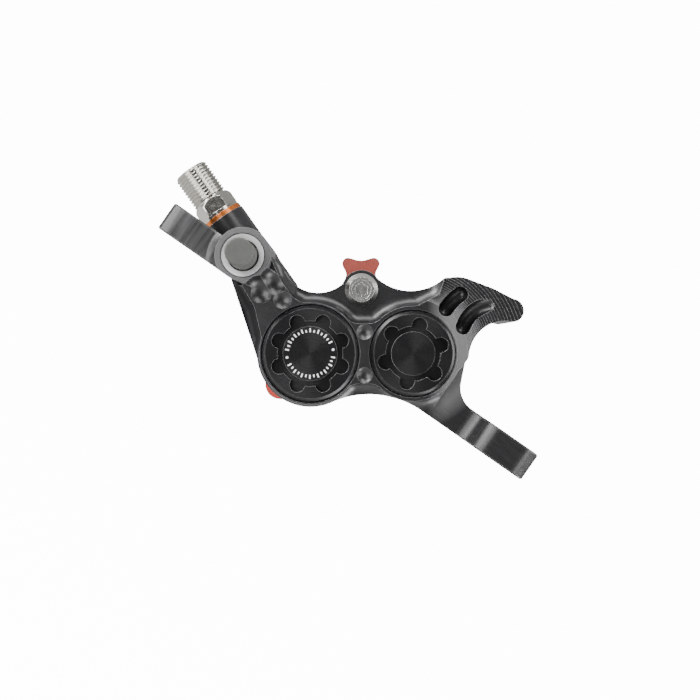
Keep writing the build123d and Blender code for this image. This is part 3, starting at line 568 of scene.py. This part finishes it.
def small_bore_painted_highlight(tree):
    """1 round the far side of the small bore, where a lighter colour is painted on as a highlight
    for the light off the cutter's finest steps.
    """
    away = from_axis(tree, *tilted(half_bore_spacing, 0))
    close = falling(tree, length_of(tree, away), rim_radius_fade)
    beyond = rising(tree, dot_with(tree, away, image_right), rim_along_fade)
    front = falling(tree, coordinate(tree, "Y"), rim_depth_fade)
    return multiplied(tree, close, beyond, front)


def on_cone(point, normal):
    """Turned cone at the mouth of the bleed well: light bare metal whose raised diffuse colour is
    partly a painted reflection.
    """
    reach = reach_from(point, bleed_x, bleed_z)
    return well_r < reach < cone_r and point.y < cone_end_y and abs(normal.y) < cone_flattest


def on_boss_ring(point, normal):
    """Flat ring round the bleed well, given a lighter colour as a painted highlight."""
    reach = reach_from(point, bleed_x, bleed_z)
    return (cone_r < reach < boss_r and point.y < boss_top_y + boss_ring_margin
            and normal.y < facing_front)


def on_horn(point, normal):
    """Terraces of the horn."""
    along, out = chord_place(point)
    reach = reach_from(point, *tilted(half_bore_spacing, 0))
    return (normal.y < facing_front and front_y + horn_front_margin < point.y < horn_back_y
            and reach > horn_bore_reach and along > horn_start_along and out > horn_lowest_out)


def on_near_ear(point, normal):
    """Milled front of the hose-side ear: its streaks are milling marks, and its lighter colour is a
    painted highlight.
    """
    return (normal.y < near_ear_steepest and point.y < near_ear_back_y
            and point.x < near_ear_end_x)


def dress(node, material):
    mesh = nodes[node].data
    mesh.materials.clear()
    mesh.materials.append(material)


def paint_faces(node, material, chosen):
    """Gives another material to the faces that a test on their centre and normal picks."""
    mesh = nodes[node].data
    mesh.materials.append(material)
    index = len(mesh.materials) - 1
    for polygon in mesh.polygons:
        if chosen(polygon.center / MM, polygon.normal):
            polygon.material_index = index


# Meshes made in this script

def add_piece(name, verts, faces, material, body="caliper"):
    mesh = bpy.data.meshes.new(name)
    mesh.from_pydata([tuple(vert * MM) for vert in verts], [], faces)
    mesh.validate()
    shaper = bmesh.new()
    shaper.from_mesh(mesh)
    bmesh.ops.recalc_face_normals(shaper, faces=shaper.faces)
    shaper.to_mesh(mesh)
    shaper.free()
    mesh.materials.append(material)
    piece = bpy.data.objects.new(name, mesh)
    bpy.context.scene.collection.objects.link(piece)
    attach(piece, body)
    return piece


def union_thread(reach, angle):
    """Radius of the hose thread: a truncated V that winds round the axis."""
    phase = (reach / thread_pitch - angle / (2 * math.pi)) % 1.0
    rise = (abs(2 * phase - 1) - thread_root_share) / thread_flank_share
    radius = thread_r - thread_depth * (1 - min(1.0, max(0.0, rise)))
    return min(radius, thread_r - thread_end_chamfer + union_end - reach)


def union_hexagon(reach, angle):
    """Radius of the hexagon, with the corners of its outer end turned off."""
    corner = (angle + hex_sector / 2) % hex_sector - hex_sector / 2
    return min(hex_apothem / math.cos(corner),
               hex_face_r + (hex_end - reach) * hex_chamfer_slope)


def union_stations():
    """Stations along the union as (reach, radius function), out along it and back in its bore."""
    def level(radius):
        return lambda reach, angle: radius

    stations = [(inner_end, level(bore_r)), (inner_end, level(inner_r)),
                (collar_start, level(inner_r)), (collar_start, level(collar_r)),
                (hex_start, level(collar_r)), (hex_start, union_hexagon)]
    chamfer = (hex_apothem / math.cos(hex_sector / 2) - hex_face_r) / hex_chamfer_slope
    stations += [(hex_end - step * chamfer / hex_chamfer_steps, union_hexagon)
                 for step in range(hex_chamfer_steps, -1, -1)]
    stations += [(hex_end, level(neck_r)), (neck_end, level(neck_r))]
    count = round((union_end - neck_end) / thread_pitch * steps_per_pitch)
    stations += [(neck_end + (union_end - neck_end) * step / count, union_thread)
                 for step in range(count + 1)]
    stations += [(union_end, level(seat_r)), (union_end - seat_depth, level(bore_r))]
    return stations


def add_union(material):
    foot = port_point + port_out * port_face_reach
    up = port_out.cross(port_side)
    verts = []
    faces = []
    stations = union_stations()
    for reach, radius in stations:
        for turn in range(union_turns):
            angle = 2 * math.pi * turn / union_turns
            spoke = port_side * math.cos(angle) + up * math.sin(angle)
            verts.append(foot + port_out * reach + spoke * radius(reach, angle))
    for ring in range(len(stations)):
        following = (ring + 1) % len(stations)
        for turn in range(union_turns):
            beside = (turn + 1) % union_turns
            faces.append((ring * union_turns + turn, ring * union_turns + beside,
                          following * union_turns + beside, following * union_turns + turn))
    piece = add_piece("threaded_union", verts, faces, material)
    for polygon in piece.data.polygons:
        polygon.use_smooth = True
    piece.data.set_sharp_from_angle(angle=sharpest_smooth_angle)
    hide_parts("hose_connector")


def flat_prism(verts, faces, outline):
    """Adds a printed patch: an outline on the cap's face, raised by the ink's thickness."""
    count = len(outline)
    first = len(verts)
    for height in (0, print_height):
        verts += [point + towards_viewer * height for point in outline]
    faces.append(tuple(range(first + count, first + 2 * count)))
    for corner in range(count):
        beside = (corner + 1) % count
        faces.append((first + corner, first + beside,
                      first + count + beside, first + count + corner))


def spoke_at(angle):
    """Direction at an angle from the photograph's right, in radians."""
    return image_right * math.cos(angle) + image_up * math.sin(angle)


def add_printed_marks(material):
    """Plain ticks and two dots where the cap carries a printed ring."""
    centre_x, centre_z = tilted(-half_bore_spacing, 0)
    centre = Vector((centre_x, mark_face_y, centre_z))
    verts = []
    faces = []
    for half in (0, half_turn):
        start = dot_line_angle + half
        for mark in range(marks_per_half):
            part_way = mark / (marks_per_half - 1)
            angle = math.radians(start + first_mark_angle
                                 + part_way * (last_mark_angle - first_mark_angle))
            spoke = spoke_at(angle)
            side = image_up * math.cos(angle) - image_right * math.sin(angle)
            outer = mark_outer_r if mark % 2 == 0 else mark_short_r
            flat_prism(verts, faces, [
                centre + spoke * radius + side * across
                for radius, across in ((mark_inner_r, -mark_width / 2), (outer, -mark_width / 2),
                                       (outer, mark_width / 2), (mark_inner_r, mark_width / 2))])
        middle = centre + spoke_at(math.radians(start)) * dot_ring_r
        flat_prism(verts, faces, [middle + spoke_at(2 * math.pi * turn / dot_sides) * dot_r
                                  for turn in range(dot_sides)])
    add_piece("printed_ticks", verts, faces, material)


# Stage and light

def seen_only(tree, seen, otherwise):
    """One strength where the camera looks, and another for the light that falls on the part."""
    choice = add_node(tree, "ShaderNodeMix", data_type="FLOAT")
    choice.inputs["A"].default_value = otherwise
    link(tree, seen, choice.inputs["B"])
    link(tree, add_node(tree, "ShaderNodeLightPath").outputs["Is Camera Ray"],
         choice.inputs["Factor"])
    return choice.outputs["Result"]


def add_floor(low):
    mesh = bpy.data.meshes.new("floor")
    mesh.from_pydata([(-floor_half, -floor_half, low), (floor_half, -floor_half, low),
                      (floor_half, floor_half, low), (-floor_half, floor_half, low)],
                     [], [(0, 1, 2, 3)])
    material, tree, shader = new_material("pale_floor")
    shader.inputs["Base Color"].default_value = (*floor_grey, 1)
    shader.inputs["Roughness"].default_value = 1.0
    shader.inputs["Specular IOR Level"].default_value = 0.0
    shader.inputs["Emission Color"].default_value = (1, 1, 1, 1)
    bright = spread(tree, coordinate(tree, "Y"), floor_near_light, floor_far_light,
                    floor_light_start_y, floor_light_end_y)
    link(tree, seen_only(tree, bright, floor_near_light), shader.inputs["Emission Strength"])
    mesh.materials.append(material)
    floor = bpy.data.objects.new("floor", mesh)
    bpy.context.scene.collection.objects.link(floor)


def add_world():
    """White beyond the caliper, pale round it and darker behind the camera."""
    world = bpy.data.worlds.new("studio")
    world.use_nodes = True
    tree = world.node_tree
    looked_y = coordinate(tree, "Y", add_node(tree, "ShaderNodeTexCoord").outputs["Generated"])
    round_about = spread(tree, looked_y, world_front, world_side, world_front_y, world_side_y)
    beyond = spread(tree, looked_y, 0.0, world_back - world_side,
                    world_back_start_y, world_back_end_y)
    total = add_node(tree, "ShaderNodeMath", operation="ADD")
    link(tree, round_about, total.inputs[0])
    link(tree, seen_only(tree, beyond, 0.0), total.inputs[1])
    background = tree.nodes["Background"]
    background.inputs["Color"].default_value = (1, 1, 1, 1)
    link(tree, total.outputs["Value"], background.inputs["Strength"])
    bpy.context.scene.world = world


def add_softbox(name, right, up, front, width, height, power):
    """Area light aimed at the caliper from a direction given as the photograph is seen."""
    data = bpy.data.lights.new(name, "AREA")
    data.shape = "RECTANGLE"
    data.size = width
    data.size_y = height
    data.energy = power
    light = bpy.data.objects.new(name, data)
    middle = Vector((camera_axis_x, 0, camera_axis_z)) * MM
    place = middle + image_right * right + image_up * up + towards_viewer * front
    aim = (place - middle).to_track_quat("Z", "Y").to_matrix().to_4x4()
    light.matrix_world = Matrix.Translation(place) @ aim
    bpy.context.scene.collection.objects.link(light)


def dress_nodes():
    # Body: painted shade (a duller specular) on the neck shelf, and a painted highlight round the
    # small bore's rim
    dress("caliper_body", finished(anodised, "anodised_body", deadened=neck_shelf_painted_shade,
                                   polished=small_bore_painted_highlight))
    paint_faces("caliper_body", finished(anodised, "anodised_terraces",
                                         polished=small_bore_painted_highlight), on_horn)
    paint_faces("caliper_body", finished(anodised, "anodised_boss_ring"), on_boss_ring)
    paint_faces("caliper_body", finished(anodised, "anodised_near_ear", streaked=True),
                on_near_ear)
    paint_faces("caliper_body", finished(turned_metal, "turned_cone", (bleed_x, bleed_z)),
                on_cone)
    dress("large_bore_cap", finished(turned_metal, "large_cap_metal",
                                     tilted(-half_bore_spacing, 0)))
    dress("small_bore_cap", finished(turned_metal, "small_cap_metal",
                                     tilted(half_bore_spacing, 0)))
    steel = finished(plain_metal, "nickel_plate")
    for node in ("hose_connector", "bleed_nipple", "gallery_plug"):
        dress(node, steel)
    dress("copper_washer", finished(plain_metal, "copper"))
    dress("pad_pin", finished(turned_metal, "pin_steel", tilted(0, pin_rise)))
    spring = finished(plain_metal, "spring_steel")
    for node in ("pad_spring", "pin_clip"):
        dress(node, spring)
    dress("bleed_cap", finished(moulded, "cap_rubber"))
    dress("transport_spacer", finished(moulded, "red_plastic"))
    paint = finished(moulded, "red_paint")
    lining = finished(moulded, "friction_lining")
    piston = finished(moulded, "piston_phenolic")
    seal = finished(moulded, "seal_rubber")
    for half in ("outboard", "inboard"):
        dress(half + "_pad_backing", paint)
        dress(half + "_pad_friction", lining)
        for size in ("large", "small"):
            dress(f"{half}_{size}_piston", piston)
            dress(f"{half}_{size}_seal", seal)
    for node in ("large_cap_o_ring", "small_cap_o_ring"):
        dress(node, seal)
    add_union(steel)
    add_printed_marks(finished(moulded, "white_ink"))


dress_nodes()
add_floor(cad_box[0][2] - floor_drop)
add_world()
for name, values in softboxes.items():
    add_softbox(name, *values)
add_camera()
